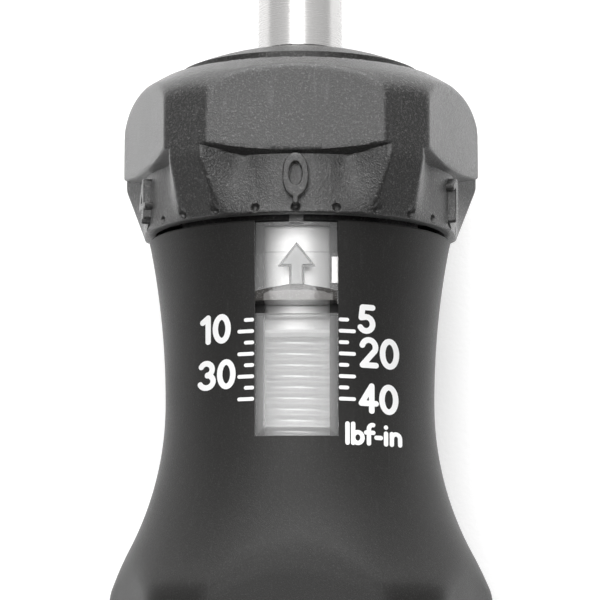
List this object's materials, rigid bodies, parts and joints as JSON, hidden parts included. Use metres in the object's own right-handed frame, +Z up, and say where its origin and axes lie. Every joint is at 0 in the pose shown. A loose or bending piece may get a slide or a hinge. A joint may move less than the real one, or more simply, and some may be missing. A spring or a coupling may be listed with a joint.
{
  "type": "torque screwdriver",
  "caption": "Adjustable torque screwdriver: lobed grip with a scale window, clear lock slide, faceted dial ring, hex bit spindle and a ball clutch inside",
  "frame": {"origin": "centre of the tool's outline on the surface it lies on", "axes": "+Y along the spindle towards the bit, +Z up through the scale window, +X to the right of the window"},
  "size_m": [0.0458, 0.1894, 0.0437],
  "materials": {
    "handle_shell": "fine satin moulded",
    "end_cap": "satin moulded",
    "body_tube": "turned, satin",
    "hard_steel": "ground",
    "nose_cap": "grained moulded",
    "bronze": "sintered bronze",
    "clear_lens": "polished clear plastic",
    "clear_slider": "moulded clear plastic",
    "dial_ring": "coarse grained moulded",
    "black_washer": "smooth",
    "adjusting_sleeve": "fine satin",
    "spring_steel": "oiled wire",
    "spindle": "satin ground",
    "bit_magnet": "nickel plated"
  },
  "bodies": {
    "handle": {"handle_shell": "handle_shell", "end_cap": "end_cap", "body_tube": "body_tube", "key_pins": "hard_steel", "body_nut": "hard_steel", "nose_cap": "nose_cap", "front_bush": "bronze", "window_lens": "clear_lens", "lock_spring": "hard_steel", "ring_washer": "black_washer", "main_spring": "spring_steel", "lower_race": "hard_steel", "end_plug": "bronze", "snap_ring": "spring_steel"},
    "dial": {"dial_ring": "dial_ring"},
    "sleeve": {"adjusting_sleeve": "adjusting_sleeve"},
    "seat": {"spring_seat": "hard_steel", "seat_pins": "hard_steel"},
    "slider": {"lock_slider": "clear_slider"},
    "clutch": {"clutch_plate": "hard_steel", "clutch_balls": "hard_steel"},
    "spindle": {"spindle": "spindle", "bit_magnet": "bit_magnet", "bit_clip": "spring_steel", "upper_race": "hard_steel"},
    "bearing": {"bearing_cage": "bronze", "bearing_needles": "hard_steel"}
  },
  "joints": [
    {"name": "dial_turn", "type": "hinge", "parent": "handle", "child": "dial", "pos_m": [0, 0, 0.02307], "axis": [0, 1, 0], "range_deg": [-360, 2160]},
    {"name": "sleeve_advance", "type": "slide", "parent": "dial", "child": "sleeve", "axis": [0, -1, 0], "range_m": [-0.00128, 0.00764]},
    {"name": "seat_advance", "type": "slide", "parent": "handle", "child": "seat", "axis": [0, -1, 0], "range_m": [-0.00128, 0.00764], "deforming": ["main_spring"]},
    {"name": "lock_slide", "type": "slide", "parent": "handle", "child": "slider", "axis": [0, 1, 0], "range_m": [0, 0.0026]},
    {"name": "spindle_turn", "type": "hinge", "parent": "handle", "child": "spindle", "pos_m": [0, 0, 0.02307], "axis": [0, -1, 0], "range_deg": [0, 30], "stiffness_Nm_per_rad": 0.6, "springref_deg": -107.72},
    {"name": "bearing_turn", "type": "hinge", "parent": "handle", "child": "bearing", "pos_m": [0, 0, 0.02307], "axis": [0, -1, 0], "range_deg": [0, 15.1]},
    {"name": "clutch_lift", "type": "slide", "parent": "handle", "child": "clutch", "axis": [0, 1, 0], "range_m": [0, 0.00082]}
  ],
  "couplings": [
    {"joint": "sleeve_advance", "follows": "dial_turn", "m_per_rad": 0.00020213},
    {"joint": "seat_advance", "follows": "dial_turn", "m_per_rad": 0.00020213},
    {"joint": "bearing_turn", "follows": "spindle_turn", "ratio": 0.5},
    {"joint": "clutch_lift", "follows": "spindle_turn", "m_per_rad": 0.0015279}
  ]
}
